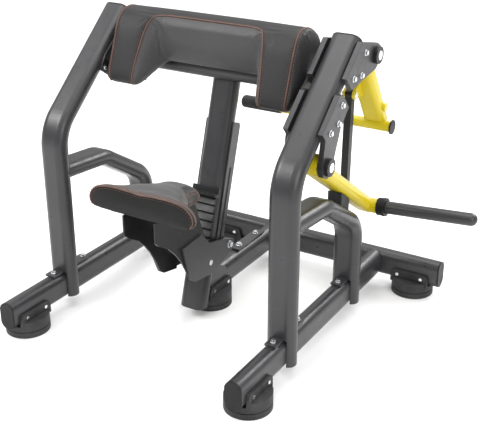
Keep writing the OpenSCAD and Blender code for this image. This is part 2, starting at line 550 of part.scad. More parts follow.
// crowned cushion: flat underside, rounded ends, narrower towards the front
sw = seat_w/2;
module seat_section() polygon([[-sw + 10, 0], [-sw, 16], [-sw + 4, 44], [-sw + 24, 70], [-sw + 60, 88], [-sw + 110, seat_h], [-30, seat_h - 2], [0, seat_h - 6], [30, seat_h - 2], [sw - 110, seat_h], [sw - 60, 88], [sw - 24, 70], [sw - 4, 44], [sw, 16], [sw - 10, 0]]);
seat_w_at = [[34, 0], [27, 3], [41, 14], [57, 30], [75, 50], [92, 68], [115, 89], [144, 108], [175, 120], [200, 128], [223, 134], [245, 142], [265, 156], [277, 176]];
module seat_plan() polygon(concat(
  [[-sw + 30, 0], [sw - 30, 0], [sw - 10, 10], [sw, 22]],
  [for (i = [2 : len(seat_w_at) - 1]) [sw - seat_w_at[i][1], seat_w_at[i][0]]],
  [[0, 281]],
  [for (i = [len(seat_w_at) - 1 : -1 : 2]) [-sw + seat_w_at[i][1], seat_w_at[i][0]]],
  [[-sw, 22], [-sw + 10, 10]]));
// high rear edge, falling to a long front horn
seat_side = [[seat_y0, seat_z], [seat_y0, seat_z + 96], [192, seat_z + 94], [232, seat_z + 87], [267, seat_z + 82], [319, seat_z + 71], [375, seat_z + 57], [420, seat_z + 43], [445, seat_z + 30], [seat_y1, seat_z + 12], [seat_y1, seat_z]];
module seat_cushion() color([0.25, 0.25, 0.27]) place() intersection() {
  translate([0, seat_y1, seat_z]) rotate([90, 0, 0]) linear_extrude(height = seat_y1 - seat_y0) seat_section();
  translate([0, seat_y0, seat_z]) linear_extrude(height = 120) seat_plan();
  yz_plate(-sw - 5, 2*sw + 10, seat_side);
}

side_rail_left();
side_rail_right();
rear_cross_rail();
centre_rail();
rail_end_caps();
upright_left();
upright_right();
upright_end_caps();
brace_left();
brace_right();
cross_beam();
beam_end_plates();
seat_post();
guide_plates();
guide_liners();
seat_rack();
rack_top_stop();
pad_supports();
pad_brackets();
pad_board();
arm_pad();
pad_bolts();
upper_plate_outer();
upper_plate_inner();
lower_plate_outer();
lower_plate_inner();
plate_bolts();
upper_shaft();
lower_shaft();
pivot_caps();
curl_arm();
curl_bar();
curl_bar_cap();
curl_grip();
link_pin_upper();
link_rod();
weight_lever();
link_pin_lower();
weight_horn();
horn_collar();
lever_stop();
mount_tabs();
frame_bolts();
post_flange();
foot_left();
foot_right();
foot_centre();
foot_rear_left();
foot_rear_mid();
foot_rear_right();
foot_screws();
seat_side_plates();
carriage_plates();
carriage_rollers();
carriage_pins();
seat_pan();
seat_cushion();
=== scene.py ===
import json
import math

import bmesh
import bpy
import numpy as np
from mathutils import Matrix, Vector
from mathutils.bvhtree import BVHTree


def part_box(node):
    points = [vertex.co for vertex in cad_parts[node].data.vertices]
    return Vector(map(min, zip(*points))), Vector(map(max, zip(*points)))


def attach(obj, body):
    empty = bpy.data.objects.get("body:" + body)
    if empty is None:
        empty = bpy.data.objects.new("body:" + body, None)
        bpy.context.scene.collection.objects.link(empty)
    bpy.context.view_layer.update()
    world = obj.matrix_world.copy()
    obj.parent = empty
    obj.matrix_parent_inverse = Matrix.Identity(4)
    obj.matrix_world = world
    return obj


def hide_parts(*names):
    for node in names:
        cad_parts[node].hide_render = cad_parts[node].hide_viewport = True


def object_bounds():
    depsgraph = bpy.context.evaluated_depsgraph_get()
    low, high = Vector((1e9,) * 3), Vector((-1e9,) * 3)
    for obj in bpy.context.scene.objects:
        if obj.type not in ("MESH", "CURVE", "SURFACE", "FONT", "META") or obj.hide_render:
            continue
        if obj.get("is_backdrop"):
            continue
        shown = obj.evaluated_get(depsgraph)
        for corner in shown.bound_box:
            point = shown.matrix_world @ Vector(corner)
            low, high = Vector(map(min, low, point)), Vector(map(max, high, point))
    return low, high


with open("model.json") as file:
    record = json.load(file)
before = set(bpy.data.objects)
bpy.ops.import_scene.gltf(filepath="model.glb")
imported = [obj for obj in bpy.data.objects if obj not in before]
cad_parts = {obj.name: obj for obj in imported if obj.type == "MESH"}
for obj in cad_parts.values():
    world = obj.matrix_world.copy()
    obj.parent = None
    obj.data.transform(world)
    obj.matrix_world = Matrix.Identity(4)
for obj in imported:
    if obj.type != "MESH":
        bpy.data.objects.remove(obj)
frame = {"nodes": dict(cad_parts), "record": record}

CAD_LO, CAD_HI = (v.copy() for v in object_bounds())
scene = bpy.context.scene
nodes = frame["nodes"]

# Local working frame of the machine, in metres: x 0 is the mid-plane, y 0 the
# front ends of the side rails, z 0 the level 54 mm above the floor.
_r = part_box("side_rail_right")
OX = (_r[0].x + _r[1].x) / 2 - 0.5
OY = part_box("rail_end_caps")[0].y + 0.006
OZ = 0.054
O = Vector((OX, OY, OZ))


def W(x, y, z):
    """A point given in millimetres of the working frame, in the row frame."""
    return Vector((x / 1000 + OX, y / 1000 + OY, z / 1000 + OZ))


# ------------------------------------------------------------------ materials
class Mat:
    """A small builder for node materials."""

    def __init__(self, name):
        self.m = bpy.data.materials.new(name)
        self.m.use_nodes = True
        self.t = self.m.node_tree
        self.n = self.t.nodes
        self.bsdf = self.n["Principled BSDF"]
        self.co = self.n.new("ShaderNodeTexCoord").outputs["Object"]

    def set(self, **kw):
        for k, v in kw.items():
            s = self.bsdf.inputs[k.replace("_", " ")]
            s.default_value = v
        return self

    def link(self, a, b):
        self.t.links.new(a, b)

    def noise(self, scale, detail=4.0, rough=0.5, vec=None):
        n = self.n.new("ShaderNodeTexNoise")
        n.inputs["Scale"].default_value = scale
        n.inputs["Detail"].default_value = detail
        n.inputs["Roughness"].default_value = rough
        self.link(vec or self.co, n.inputs["Vector"])
        return n.outputs["Fac"]

    def voronoi(self, scale, feature="F1", vec=None, rand=1.0):
        n = self.n.new("ShaderNodeTexVoronoi")
        n.feature = feature
        n.inputs["Scale"].default_value = scale
        n.inputs["Randomness"].default_value = rand
        self.link(vec or self.co, n.inputs["Vector"])
        return n.outputs["Distance"]

    def ramp(self, fac, stops):
        n = self.n.new("ShaderNodeValToRGB")
        e = n.color_ramp.elements
        while len(e) < len(stops):
            e.new(0.5)
        for el, (p, c) in zip(e, stops):
            el.position = p
            el.color = c if len(c) == 4 else (*c, 1)
        self.link(fac, n.inputs["Fac"])
        return n.outputs["Color"]

    def mapr(self, v, a, b, c, d):
        n = self.n.new("ShaderNodeMapRange")
        for i, x in enumerate((a, b, c, d)):
            n.inputs[i + 1].default_value = x
        self.link(v, n.inputs["Value"])
        return n.outputs["Result"]

    def math(self, op, a, b=None):
        n = self.n.new("ShaderNodeMath")
        n.operation = op
        for i, x in enumerate((a, b)):
            if x is None:
                continue
            if isinstance(x, (int, float)):
                n.inputs[i].default_value = x
            else:
                self.link(x, n.inputs[i])
        return n.outputs[0]

    def mix(self, fac, a, b):
        n = self.n.new("ShaderNodeMix")
        n.data_type = "RGBA"
        for i, x in ((0, fac), (6, a), (7, b)):
            if isinstance(x, (int, float)):
                n.inputs[i].default_value = x
            elif isinstance(x, tuple):
                n.inputs[i].default_value = x if len(x) == 4 else (*x, 1)
            else:
                self.link(x, n.inputs[i])
        return n.outputs[2]

    def bump(self, height, strength, distance, normal=None):
        n = self.n.new("ShaderNodeBump")
        n.inputs["Strength"].default_value = strength
        n.inputs["Distance"].default_value = distance
        self.link(height, n.inputs["Height"])
        if normal:
            self.link(normal, n.inputs["Normal"])
        return n.outputs["Normal"]

    def edge(self, radius=0.0015):
        """Pointiness: higher on convex edges than on flats."""
        g = self.n.new("ShaderNodeNewGeometry")
        return g.outputs["Pointiness"]

    def out(self, color=None, rough=None, normal=None):
        if color is not None:
            self.link(color, self.bsdf.inputs["Base Color"])
        if rough is not None:
            self.link(rough, self.bsdf.inputs["Roughness"])
        if normal is not None:
            self.link(normal, self.bsdf.inputs["Normal"])
        return self.m


def bevelled(m, radius):
    b = m.n.new("ShaderNodeBevel")
    b.samples = 4
    b.inputs["Radius"].default_value = radius
    return b.outputs["Normal"]


def powder(name, dark, light, rough=(0.38, 0.5), grain=1300, wear=None, coat=0.0, strength=0.25, bevel=0.0015, metallic=0.0, ior=1.5):
    """Powder-coated steel: fine orange peel, slow tone drift and slight dust."""
    m = Mat(name)
    slow = m.noise(6, 3)
    fine = m.noise(grain, 2, 0.6)
    peel = m.voronoi(grain * 0.45, "SMOOTH_F1")
    tone = m.mapr(m.math("ADD", m.math("MULTIPLY", slow, 0.7), m.math("MULTIPLY", fine, 0.3)), 0.3, 0.7, 0, 1)
    col = m.mix(tone, dark, light)
    if wear:
        scuff = m.mapr(m.math("MULTIPLY", m.noise(55, 6, 0.7), m.noise(9, 3)), 0.40, 0.46, 0, 0.35)
        col = m.mix(scuff, col, wear)
    r = m.mapr(m.noise(24, 5), 0.3, 0.7, rough[0], rough[1])
    h = m.math("ADD", m.math("MULTIPLY", peel, 0.6), m.math("MULTIPLY", fine, 0.5))
    m.set(Metallic=metallic, Coat_Weight=coat, Coat_Roughness=0.15, IOR=ior)
    return m.out(col, r, m.bump(h, strength, 0.0004, bevelled(m, bevel)))


def leather(name, dark, light, rough=(0.42, 0.56), spec=0.5):
    """Synthetic leather: fine pebble grain, pores and soft creases."""
    m = Mat(name)
    warp = m.noise(90, 3)
    cells = m.voronoi(520, "F1")
    fine = m.voronoi(1150, "SMOOTH_F1")
    crease = m.mapr(m.noise(17, 6, 0.62), 0.42, 0.62, 0, 1)
    slow = m.noise(5, 3)
    tone = m.mapr(m.math("ADD", m.math("MULTIPLY", slow, 0.6), m.math("MULTIPLY", warp, 0.4)), 0.3, 0.7, 0, 1)
    col = m.mix(tone, dark, light)
    col = m.mix(m.mapr(cells, 0.0, 0.12, 0.35, 0.0), col, tuple(c * 0.55 for c in dark[:3]))
    h = m.math("ADD", m.math("MULTIPLY", cells, 0.8), m.math("MULTIPLY", fine, 0.5))
    h = m.math("ADD", h, m.math("MULTIPLY", crease, 0.5))
    r = m.mapr(m.math("ADD", m.math("MULTIPLY", crease, 0.4), m.math("MULTIPLY", cells, 0.8)), 0.0, 1.0, rough[0], rough[1])
    m.set(IOR=1.45, Specular_IOR_Level=spec, Sheen_Weight=0.06 * spec, Sheen_Roughness=0.5)
    return m.out(col, r, m.bump(h, 0.32, 0.0007))


def rubber(name, dark=(0.012, 0.012, 0.013), light=(0.03, 0.03, 0.031), grain=420, rough=(0.55, 0.75), strength=0.3):
    m = Mat(name)
    f = m.noise(grain, 4, 0.65)
    slow = m.noise(11, 4)
    col = m.mix(m.mapr(slow, 0.35, 0.65, 0, 1), dark, light)
    dust = m.mapr(m.noise(40, 6, 0.7), 0.55, 0.75, 0, 0.25)
    col = m.mix(dust, col, (0.09, 0.088, 0.085))
    m.set(IOR=1.5)
    return m.out(col, m.mapr(f, 0.3, 0.7, *rough), m.bump(f, strength, 0.0008, bevelled(m, 0.002)))


def chrome(name, base=(0.75, 0.76, 0.78), rough=(0.12, 0.3)):
    m = Mat(name)
    f = m.noise(220, 3)
    s = m.noise(30, 4)
    col = m.mix(m.mapr(s, 0.3, 0.7, 0, 1), tuple(c * 0.85 for c in base), base)
    m.set(Metallic=1.0)
    return m.out(col, m.mapr(f, 0.3, 0.7, *rough), m.bump(f, 0.08, 0.0003, bevelled(m, 0.0008)))


M = {
    "frame": powder("frame_powder_coat", (0.021, 0.021, 0.0225), (0.032, 0.032, 0.0345), wear=(0.08, 0.08, 0.085), rough=(0.27, 0.37)),
    "plate": powder("plate_powder_coat", (0.018, 0.018, 0.0195), (0.028, 0.028, 0.030), wear=(0.09, 0.09, 0.095), bevel=0.0025, rough=(0.30, 0.42)),
    "black_steel": powder("black_powder_coat", (0.009, 0.009, 0.0095), (0.016, 0.016, 0.017), wear=(0.06, 0.06, 0.065), rough=(0.32, 0.45), ior=1.36),
    "black_plastic": powder("moulded_black_plastic", (0.007, 0.007, 0.0075), (0.013, 0.013, 0.0138), grain=700, rough=(0.42, 0.58), strength=0.18, ior=1.32),
    "yellow": powder("yellow_powder_coat", (0.55, 0.43, 0.008), (0.62, 0.50, 0.013), wear=(0.45, 0.36, 0.03), grain=900, rough=(0.28, 0.4), strength=0.12, bevel=0.0022),
    "board": powder("stained_board", (0.010, 0.010, 0.010), (0.020, 0.019, 0.018), grain=300, rough=(0.6, 0.8), strength=0.4),
    "horn": powder("horn_satin_black", (0.016, 0.016, 0.018), (0.028, 0.028, 0.030), wear=(0.13, 0.13, 0.135), grain=800, rough=(0.28, 0.42), strength=0.1),
    "leather": leather("charcoal_upholstery", (0.036, 0.0355, 0.037), (0.050, 0.0495, 0.0515)),
    "leather_seat": leather("charcoal_upholstery_seat", (0.060, 0.0595, 0.060), (0.082, 0.0815, 0.082)),
    # painted shade: the arm pad's bands are a darker copy of the same charcoal upholstery
    "leather_band_painted_shade": leather("charcoal_upholstery_band_painted_shade", (0.010, 0.0098, 0.0108), (0.017, 0.0168, 0.018), spec=0.35),
    # painted shade: the seat's rear face and underside get a near-black copy of the seat upholstery
    "seat_rear_painted_shade": leather("charcoal_upholstery_rear_painted_shade", (0.0040, 0.0038, 0.0037), (0.0080, 0.0077, 0.0074), spec=0.25),
    # painted shade: the seat's side ovals get a darker copy of the seat upholstery
    "nose": leather("charcoal_upholstery_nose_painted_shade", (0.022, 0.0215, 0.021), (0.034, 0.033, 0.032), spec=0.4),
    "rubber": rubber("foot_rubber"),
    "grip": rubber("grip_rubber", (0.010, 0.010, 0.010), (0.022, 0.022, 0.022), grain=900, rough=(0.6, 0.8), strength=0.5),
    "chrome": chrome("bright_zinc"),
    "cap": chrome("pivot_cap_disc", (0.85, 0.85, 0.86), (0.2, 0.35)),
}


def piping_mat():
    m = Mat("copper_piping")
    f = m.noise(600, 3)
    s = m.noise(30, 3)
    col = m.mix(m.mapr(s, 0.3, 0.7, 0, 1), (0.070, 0.034, 0.024), (0.110, 0.056, 0.040))
    m.set(IOR=1.45)
    return m.out(col, m.mapr(f, 0.3, 0.7, 0.42, 0.6), m.bump(f, 0.4, 0.0004))


M["piping"] = piping_mat()


def thread_mat():
    m = Mat("copper_thread")
    w = m.n.new("ShaderNodeTexWave")
    w.inputs["Scale"].default_value = 900
    m.link(m.co, w.inputs["Vector"])
    col = m.mix(w.outputs["Fac"], (0.13, 0.06, 0.035), (0.22, 0.11, 0.065))
    m.set(IOR=1.45)
    return m.out(col, m.mapr(w.outputs["Fac"], 0, 1, 0.5, 0.7), m.bump(w.outputs["Fac"], 0.5, 0.0004))


M["thread"] = thread_mat()

SLOTS = {
    "frame_paint": "frame", "plate_paint": "plate", "black_steel": "black_steel", "black_plastic": "black_plastic",
    "board": "board", "upholstery": "leather", "bright_steel": "chrome", "yellow_paint": "yellow", "rubber": "rubber",
    "horn_steel": "horn",
}
slot_of = {s["node"]: s["material_slot"] for s in frame["record"]["subparts"]}
for n, o in nodes.items():
    o.data.materials.clear()
    o.data.materials.append(M[SLOTS[slot_of[n]]])
nodes["curl_grip"].data.materials[0] = M["grip"]
nodes["pivot_caps"].data.materials[0] = M["cap"]


# ------------------------------------------------------------------ mesh helpers
def new_obj(name, verts, faces, mat, smooth=True):
    me = bpy.data.meshes.new(name)
    me.from_pydata([tuple(v) for v in verts], [], faces)
    me.update()
    o = bpy.data.objects.new(name, me)
    scene.collection.objects.link(o)
    me.materials.append(mat)
    if smooth:
        me.shade_smooth()
    return o


def apply_mods(o):
    dg = bpy.context.evaluated_depsgraph_get()
    e = o.evaluated_get(dg)
    me = bpy.data.meshes.new_from_object(e, depsgraph=dg)
    o.modifiers.clear()
    o.data = me
    return o


def catmull(pts, closed=True, step=0.006):
    """A smooth dense polyline through points."""
    P = [Vector(p) for p in pts]
    n = len(P)
    out = []
    for i in range(n if closed else n - 1):
        p0 = P[(i - 1) % n] if closed or i > 0 else P[0]
        p1 = P[i]
        p2 = P[(i + 1) % n]
        p3 = P[(i + 2) % n] if closed or i + 2 < n else P[-1]
        k = max(2, int((p2 - p1).length / step))
        for j in range(k):
            t = j / k
            out.append(0.5 * ((2 * p1) + (p2 - p0) * t + (2 * p0 - 5 * p1 + 4 * p2 - p3) * t * t + (3 * p1 - p0 - 3 * p2 + p3) * t ** 3))
    if not closed:
        out.append(P[-1])
    return out


def tube(name, pts, r, mat, closed=True, sides=8):
    """A round cord of radius r along points."""
    P = [Vector(p) for p in pts]
    n = len(P)
    verts, faces = [], []
    up = None
    for i, p in enumerate(P):
        a = P[(i - 1) % n] if closed or i else P[i]
        b = P[(i + 1) % n] if closed or i < n - 1 else P[i]
        t = (b - a).normalized()
        if up is None:
            up = t.orthogonal().normalized()
        up = (up - t * up.dot(t)).normalized()
        s = t.cross(up)
        for k in range(sides):
            g = 2 * math.pi * k / sides
            verts.append(p + (up * math.cos(g) + s * math.sin(g)) * r)
    m = n if closed else n - 1
    for i in range(m):
        for k in range(sides):
            a = i * sides + k
            b = i * sides + (k + 1) % sides
            c = ((i + 1) % n) * sides + (k + 1) % sides
            d = ((i + 1) % n) * sides + k
            faces.append((a, b, c, d))
    if not closed:
        faces.append(tuple(reversed(range(sides))))
        faces.append(tuple(range((n - 1) * sides, n * sides)))
    return new_obj(name, verts, faces, mat)


# ------------------------------------------------------------------ soft pieces
def resample(pts, n):
    """n points at even spacing along an open polyline."""
    P = [Vector((p[0], p[1])) for p in pts]
    d = [0.0]
    for a, b in zip(P, P[1:]):
        d.append(d[-1] + (b - a).length)
    out = []
    j = 0
    for i in range(n):
        t = d[-1] * i / (n - 1)
        while j < len(d) - 2 and d[j + 1] < t:
            j += 1
        f = (t - d[j]) / max(1e-9, d[j + 1] - d[j])
        out.append(P[j].lerp(P[j + 1], f))
    return out


def loft(name, rings, mat, cap0, cap1):
    """A closed skin through rings of equal length; the ends close on one point each."""
    n = len(rings[0])
    verts = [v for r in rings for v in r] + [cap0, cap1]
    faces = []
    for i in range(len(rings) - 1):
        for k in range(n):
            a, b = i * n + k, i * n + (k + 1) % n
            faces.append((a, b, b + n, a + n))
    c0, c1 = len(verts) - 2, len(verts) - 1
    m = (len(rings) - 1) * n
    for k in range(n):
        faces.append((c0, (k + 1) % n, k))
        faces.append((c1, m + k, m + (k + 1) % n))
    o = new_obj(name, verts, faces, mat)
    bm = bmesh.new()
    bm.from_mesh(o.data)
    bmesh.ops.recalc_face_normals(bm, faces=bm.faces)
    bm.to_mesh(o.data)
    bm.free()
    return o


def remesh(o, voxel, smooth=3):
    m = o.modifiers.new("remesh", "REMESH")
    m.mode = "VOXEL"
    m.voxel_size = voxel
    s = o.modifiers.new("smooth", "SMOOTH")
    s.factor = 0.5
    s.iterations = smooth
    return apply_mods(o)


def near(curves, spacing=0.004):
    """A lookup of the distance to a set of polylines."""
    from mathutils.kdtree import KDTree
    pts = []
    for c in curves:
        for a, b in zip(c, c[1:]):
            k = max(1, int((b - a).length / spacing))
            pts += [a.lerp(b, i / k) for i in range(k)]
    kd = KDTree(len(pts))
    for i, p in enumerate(pts):
        kd.insert(p, i)
    kd.balance()
    return kd


def puff(o, seams, held, pressure=4.0, cap=0.009, frames=20, seam_r=0.007, stiff=14.0):
    """Cloth under pressure, held at its seams and on its board."""
    kd = near(seams)
    start = [v.co.copy() for v in o.data.vertices]
    g = o.vertex_groups.new(name="held")
    dist = []
    for v in o.data.vertices:
        d = kd.find(v.co)[2]
        dist.append(d)
        w = 1.0 if held(v.co) else max(0.0, 1.0 - d / seam_r)
        if w > 0:
            g.add([v.index], w, "REPLACE")
    c = o.modifiers.new("cloth", "CLOTH")
    s = c.settings
    s.quality = 5
    s.mass = 0.3
    s.tension_stiffness = stiff
    s.compression_stiffness = stiff
    s.shear_stiffness = 5
    s.bending_stiffness = 1.5
    s.use_pressure = True
    s.uniform_pressure_force = pressure
    s.vertex_group_mass = "held"
    s.effector_weights.gravity = 0
    c.collision_settings.use_collision = False
    c.point_cache.frame_start = 1
    c.point_cache.frame_end = frames
    for f in range(1, frames + 1):
        scene.frame_set(f)
    apply_mods(o)
    scene.frame_set(1)
    for v, p in zip(o.data.vertices, start):
        d = v.co - p
        if d.length > cap:
            v.co = p + d.normalized() * cap
    o.vertex_groups.clear()
    o.data.update()
    return dist


def groove(o, seams, width=0.006, depth=0.0022):
    """Pulls the skin in along its seams."""
    kd = near(seams)
    o.data.update()
    mv = []
    for v in o.data.vertices:
        d = kd.find(v.co)[2]
        if d < width * 2.2:
            mv.append((v.index, v.normal.copy() * (-depth * math.exp(-(d / width) ** 2))))
    for i, m in mv:
        o.data.vertices[i].co += m
    o.data.update()


def subdivided(o, levels=1):
    m = o.modifiers.new("subdiv", "SUBSURF")
    m.levels = levels
    m.render_levels = levels
    apply_mods(o)
    o.data.shade_smooth()
    return o


def tree_of(o):
    bm = bmesh.new()
    bm.from_mesh(o.data)
    t = BVHTree.FromBMesh(bm)
    bm.free()
    return t


def on_skin(tree, pts, lift=0.0):
    out = []
    for p in pts:
        q, n, _, _ = tree.find_nearest(Vector(p))
        out.append(q + n * lift)
    return out


def relaxed(pts, closed, k=6):
    P = list(pts)
    n = len(P)
    for _ in range(k):
        Q = list(P)
        for i in range(n):
            if closed or 0 < i < n - 1:
                Q[i] = (P[i - 1] + P[i] * 2 + P[(i + 1) % n]) / 4
        P = Q
    return P


def cord_on(name, tree, pts, r, closed, lift=0.3, dense=0.005):
    """Piping sewn along a line of the skin."""
    c = catmull(pts, closed, dense)
    c = relaxed(on_skin(tree, c, r * lift), closed)
    return tube(name, c, r, M["piping"], closed, 10), c


def stitches(name, tree, path, closed, off, normal_hint=None, step=0.0085, ln=0.0052, r=0.00075):
    """A row of short threads beside a seam."""
    n = len(path)
    pos = []
    for i in range(n if closed else n - 1):
        a, b = path[i], path[(i + 1) % n]
        t = (b - a)
        if t.length < 1e-7:
            continue
        q, nn, _, _ = tree.find_nearest(a)
        side = t.normalized().cross(nn)
        pos.append(a + side * off)
    if len(pos) < 4:
        return None
    pts = on_skin(tree, pos, r * 0.4)
    verts, faces = [], []
    acc = 0.0
    on = None
    for a, b in zip(pts, pts[1:]):
        acc += (b - a).length
        if acc < step:
            continue
        acc = 0.0
        t = (b - a).normalized()
        q, nn, _, _ = tree.find_nearest(b)
        s = t.cross(nn).normalized()
        base = len(verts)
        for e_, sc in ((-0.5, 0.35), (-0.3, 1.0), (0.3, 1.0), (0.5, 0.35)):
            c = b + t * (ln * e_) - nn * (r * (0.6 if sc < 1 else 0.0))
            for k in range(6):
                g = 2 * math.pi * k / 6
                verts.append(c + (nn * math.cos(g) + s * math.sin(g)) * r * sc)
        for j in range(3):
            for k in range(6):
                u, w = base + j * 6 + k, base + j * 6 + (k + 1) % 6
                faces.append((u, w, w + 6, u + 6))
        faces.append(tuple(base + 5 - k for k in range(6)))
        faces.append(tuple(base + 18 + k for k in range(6)))
    return new_obj(name, verts, faces, M["thread"])


def dress(objs, body, node=None):
    for o in objs:
        if o is not None:
            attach(o, body)


# --- arm pad
U = math.radians(42.8)
BY = lambda s, p=0.0: 596 + s * math.cos(U) + p * math.sin(U)
BZ = lambda s, p=0.0: 861 + s * math.sin(U) - p * math.cos(U)
LOBE_FRONT = [(560, 847), (546, 852), (536, 862), (533, 876), (545, 912), (560, 955), (575, 998), (588, 1034), (603, 1068), (622, 1096), (646, 1113), (676, 1120), (706, 1117), (738, 1104), (764, 1086), (780, 1066), (788, 1048)]
LOBE_BACK = [(788, 1048), (BY(262, 0.2), BZ(262, 0.2)), (BY(200, 0.2), BZ(200, 0.2)), (BY(100, 0.2), BZ(100, 0.2)), (BY(4, 0.2), BZ(4, 0.2)), (578, 848), (560, 847)]
MID_FRONT = [(702, 921), (692, 920), (681, 925), (671, 935), (661, 952), (652, 978), (646, 1005), (643, 1036), (643, 1068), (646, 1092), (654, 1110), (676, 1120), (706, 1117), (738, 1104), (762, 1086), (770, 1066), (772, 1048)]
MID_BACK = [(772, 1048), (764, 1032), (748, 1004), (732, 977), (716, 949), (708, 935), (702, 921)]
NF, NB = 60, 30


def profile(w):
    f0, f1 = resample(LOBE_FRONT, NF), resample(MID_FRONT, NF)
    b0, b1 = resample(LOBE_BACK, NB), resample(MID_BACK, NB)
    return [a.lerp(b, w) for a, b in zip(f0, f1)][:-1] + [a.lerp(b, w) for a, b in zip(b0, b1)][:-1]


def sstep(t):
    t = min(1.0, max(0.0, t))
    return t * t * (3 - 2 * t)


PAD_X = 397.0


def pad_weight(x, z=0.0):
    return sstep((272.0 - abs(x)) / 72.0)


def pad_ring(x, inset=0.0):
    w = pad_weight(x)
    P = profile(w)
    cy = sum(p.x for p in P) / len(P)
    cz = sum(p.y for p in P) / len(P)
    out = []
    for p in P:
        d = Vector((p.x - cy, p.y - cz))
        k = max(0.0, 1.0 - inset / max(1e-6, d.length))
        # the padding's face is a little proud between the seams
        out.append(W(x, cy + d.x * k, cz + d.y * k))
    return out


xs = [(-397, 26), (-395, 14), (-390, 6), (-383, 2), (-376, 0.5)] + [(x, 0) for x in range(-368, 369, 8)] + [(376, 0.5), (383, 2), (390, 6), (395, 14), (397, 26)]
rings = [pad_ring(x, i) for x, i in xs]
cen = Vector((0, 0, 0))
for v in rings[0]:
    cen += v
cen /= len(rings[0])
# the pad skin starts in the darker band copy of the upholstery (painted shade)
pad = loft("arm_pad_cover", rings, M["leather_band_painted_shade"], cen + Vector((-0.001, 0, 0)), Vector((-cen.x + 2 * OX + 0.001, cen.y, cen.z)))
pad = remesh(pad, 0.0055, 4)

outer_yz = [(546, 852), (533, 874), (545, 912), (560, 955), (575, 998), (588, 1034), (603, 1068), (622, 1096), (646, 1113), (676, 1120), (706, 1117), (738, 1104), (764, 1086), (782, 1062)]
PIPES = {}
for s, tag in ((-1, "left"), (1, "right")):
    PIPES["outer_" + tag] = [W(s * (380 if z < 1080 else 380 - (z - 1080) * 0.1), y, z) for y, z in outer_yz]
inner = []
left = [(-276, 548, 852), (-275, 533, 874), (-272, 545, 912), (-268, 562, 955), (-262, 580, 998), (-255, 597, 1040), (-247, 615, 1072), (-236, 632, 1095), (-217, 643, 1109), (-190, 648, 1114)]
inner = left + [(-120, 650, 1115), (0, 650, 1115), (120, 650, 1115)] + [(-x, y, z) for x, y, z in reversed(left)]
PIPES["inner"] = [W(*p) for p in inner]
lower = [W(x, 692, 920) for x in range(-190, 191, 38)]

def pad_held(p):
    y, z = (p.y - OY) * 1000, (p.z - OZ) * 1000
    x = abs((p.x - OX) * 1000)
    back = (y - 596) * math.sin(U) - (z - 861) * math.cos(U)
    if x > 255:
        return back > -7
    return (y - 698) * 0.8655 - (z - 918) * 0.5 > -7
puff(pad, list(PIPES.values()) + [lower], pad_held, 4.0, 0.008)
groove(pad, list(PIPES.values()))
subdivided(pad)
# the recessed middle panel keeps the plain charcoal upholstery; the bands and lobes around it keep a darker copy of
# the same upholstery, painted shade
pad.data.materials.append(M["leather"])
me = pad.data
co = np.empty(len(me.polygons) * 3)
me.polygons.foreach_get("center", co)
co = co.reshape(-1, 3)
X = np.abs((co[:, 0] - OX) * 1000)
Z = (co[:, 2] - OZ) * 1000
Y = (co[:, 1] - OY) * 1000
edge = np.interp(Z, [850, 874, 998, 1040, 1072, 1095, 1109, 1115], [276, 275, 262, 255, 247, 236, 217, 190])
mid = (X < edge) & (Z < 1115) & ((Y < 650) | (Z < 1100))
me.polygons.foreach_set("material_index", mid.astype(np.int32))
me.update()
tree = tree_of(pad)
extra = []
for k, pts in PIPES.items():
    o, c = cord_on("arm_pad_piping_" + k, tree, pts, 0.0031, False)
    extra.append(o)
    for j, off in enumerate((-0.0085, 0.0085)):
        extra.append(stitches("arm_pad_stitches_%s_%d" % (k, j), tree, c, False, off))
o, c = cord_on("arm_pad_lower_seam", tree, lower, 0.0018, False)
# painted shade: the lower seam cord takes the darker band copy of the upholstery
o.data.materials[0] = M["leather_band_painted_shade"]
extra.append(o)
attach(pad, "frame")
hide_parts("arm_pad")
dress(extra, "frame")

# --- seat
HALF = [(0.0, 0.0), (0.3, 0.0), (0.6, 0.0), (0.82, 0.03), (0.94, 0.10), (0.99, 0.22), (1.0, 0.36), (0.985, 0.52), (0.945, 0.68), (0.88, 0.82), (0.78, 0.92), (0.62, 0.985), (0.42, 1.0), (0.22, 0.985), (0.10, 0.96), (0.0, 0.93)]
NH = 44


HORN = [(0.0, 0.0), (0.3, 0.0), (0.6, 0.0), (0.82, 0.04), (0.95, 0.14), (1.0, 0.30), (0.99, 0.45), (0.93, 0.61), (0.83, 0.75), (0.69, 0.86), (0.51, 0.94), (0.33, 0.98), (0.16, 1.0), (0.0, 1.0)]


SX = 14.0                               # the cover sits a little to the right on its pan


def seat_ring(y, hw, top, inset=0.0, zb=506.0):
    k = sstep((y - 196.0) / 70.0)
    a = resample([(p * 214, q * 100) for p, q in HALF], NH)
    b = resample([(p * 214, q * 100) for p, q in HORN], NH)
    pts = [(p.lerp(q, k).x / 214, p.lerp(q, k).y / 100) for p, q in zip(a, b)]
    P = []
    for sgn, seq in ((1, pts[:-1]), (-1, list(reversed(pts))[:-1])):
        for u, v in seq:
            P.append((SX * (1 - k) + sgn * u * (hw - inset), zb + inset * 0.6 + max(0.0, top * v - inset * 1.2)))
    return [W(x, y, z) for x, z in P]


